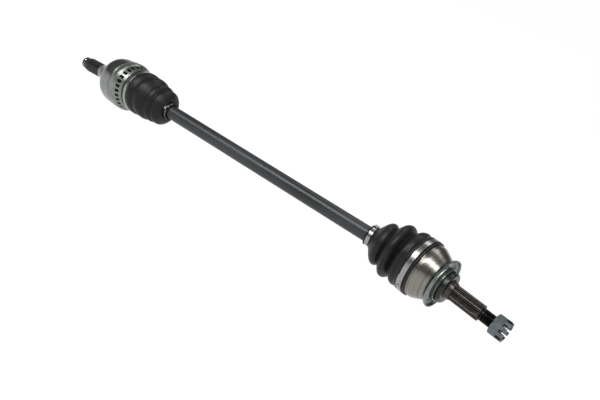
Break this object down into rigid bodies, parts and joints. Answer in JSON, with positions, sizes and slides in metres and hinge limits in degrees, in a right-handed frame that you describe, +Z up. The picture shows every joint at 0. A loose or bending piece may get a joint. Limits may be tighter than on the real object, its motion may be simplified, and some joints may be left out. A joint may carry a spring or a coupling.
{
  "type": "cv axle",
  "caption": "Front-wheel-drive half shaft: bar with a booted ball joint and splined threaded stub at one end, a booted plunging tripod joint with tone ring and splined stub at the other.",
  "frame": {"origin": "centre of the lying axle's box, on the floor it rests on", "axes": "+X along the bar towards the wheel end, +Z up, -Y towards the side that the wheel end is turned to"},
  "size_m": [0.9134, 0.0972, 0.0928],
  "materials": {
    "dark_steel": "oiled dark satin steel bar",
    "bearing_steel": "ground and hardened bearing steel",
    "satin_steel": "turned satin steel with fine rings",
    "machined_steel": "bright machined steel",
    "zinc_shield": "zinc plated pressed sheet, slightly green",
    "zinc_nut": "zinc plated forged nut",
    "boot_rubber": "satin black thermoplastic rubber",
    "clamp_steel": "stainless band with a crimped ear"
  },
  "bodies": {
    "shaft": {"axle_shaft": "dark_steel", "spider_circlip": "bearing_steel", "inner_race_circlip": "bearing_steel", "inner_race": "bearing_steel", "shaft_stop_ring": "bearing_steel", "tripod_spider": "bearing_steel", "trunnion_ring_1": "bearing_steel", "trunnion_ring_2": "bearing_steel", "trunnion_ring_3": "bearing_steel", "needle_set_1": "bearing_steel", "needle_set_2": "bearing_steel", "needle_set_3": "bearing_steel", "outer_boot_small_clamp": "clamp_steel", "inner_boot_small_clamp": "clamp_steel"},
    "lead_ball": {"ball_1": "bearing_steel"},
    "cage": {"cage": "bearing_steel", "ball_2": "bearing_steel", "ball_3": "bearing_steel", "ball_5": "bearing_steel", "ball_6": "bearing_steel", "outer_boot": "boot_rubber"},
    "trail_ball": {"ball_4": "bearing_steel"},
    "wheel_end": {"outer_housing": "satin_steel", "dust_shield": "zinc_shield", "outer_boot_large_clamp": "clamp_steel"},
    "axle_nut": {"axle_nut": "zinc_nut"},
    "upper_roller": {"roller_1": "bearing_steel"},
    "left_roller": {"roller_2": "bearing_steel"},
    "right_roller": {"roller_3": "bearing_steel"},
    "inner_boot": {"inner_boot": "boot_rubber"},
    "gearbox_end": {"inner_housing": "machined_steel", "abs_tone_ring": "zinc_shield", "housing_retaining_ring": "bearing_steel", "inner_stub_circlip": "bearing_steel", "inner_boot_large_clamp": "clamp_steel"}
  },
  "joints": [
    {"name": "outer_steer_first_half", "type": "hinge", "parent": "shaft", "child": "lead_ball", "pos_m": [0.31045, 0.00011, 0.0464], "axis": [0, 0, 1], "range_deg": [-12.85, 25.15], "deforming": ["outer_boot"]},
    {"name": "outer_bounce_first_half", "type": "hinge", "parent": "lead_ball", "child": "cage", "pos_m": [0.31045, 0.00011, 0.0464], "axis": [0.1071, 0.9942, 0], "range_deg": [-6, 6], "deforming": ["outer_boot"]},
    {"name": "outer_bounce", "type": "hinge", "parent": "cage", "child": "trail_ball", "pos_m": [0.31045, 0.00011, 0.0464], "axis": [0.1071, 0.9942, 0], "range_deg": [-6, 6], "deforming": ["outer_boot"]},
    {"name": "outer_steer", "type": "hinge", "parent": "trail_ball", "child": "wheel_end", "pos_m": [0.31045, 0.00011, 0.0464], "axis": [0, 0, 1], "range_deg": [-12.85, 25.15], "deforming": ["outer_boot"]},
    {"name": "axle_nut_turn", "type": "hinge", "parent": "wheel_end", "child": "axle_nut", "pos_m": [0.44333, -0.02886, 0.0464], "axis": [0.977, -0.213, 0], "continuous": true},
    {"name": "inner_yaw", "type": "hinge", "parent": "shaft", "child": "upper_roller", "pos_m": [-0.32055, 0.00011, 0.0464], "axis": [0, 0, 1], "range_deg": [-6, 18], "deforming": ["inner_boot"]},
    {"name": "inner_pitch", "type": "hinge", "parent": "upper_roller", "child": "inner_boot", "pos_m": [-0.32055, 0.00011, 0.0464], "axis": [0.1045, 0.9945, 0], "range_deg": [-6.7, 17.3], "deforming": ["inner_boot"]},
    {"name": "inner_plunge", "type": "slide", "parent": "inner_boot", "child": "gearbox_end", "axis": [0.9903, -0.1041, 0.0924], "range_m": [-0.018, 0.012], "deforming": ["inner_boot"]},
    {"name": "left_roller_spin", "type": "hinge", "parent": "shaft", "child": "left_roller", "pos_m": [-0.32055, 0.00011, 0.0464], "axis": [0, -0.866, -0.5], "range_deg": [-75, 50]},
    {"name": "right_roller_spin", "type": "hinge", "parent": "shaft", "child": "right_roller", "pos_m": [-0.32055, 0.00011, 0.0464], "axis": [0, 0.866, -0.5], "range_deg": [-75, 50]}
  ],
  "couplings": [
    {"joint": "outer_steer_first_half", "follows": "outer_steer", "ratio": 1},
    {"joint": "outer_bounce_first_half", "follows": "outer_bounce", "ratio": 1},
    {"joint": "left_roller_spin", "follows": "inner_plunge", "rad_per_m": 71.429},
    {"joint": "right_roller_spin", "follows": "inner_plunge", "rad_per_m": 71.429}
  ]
}
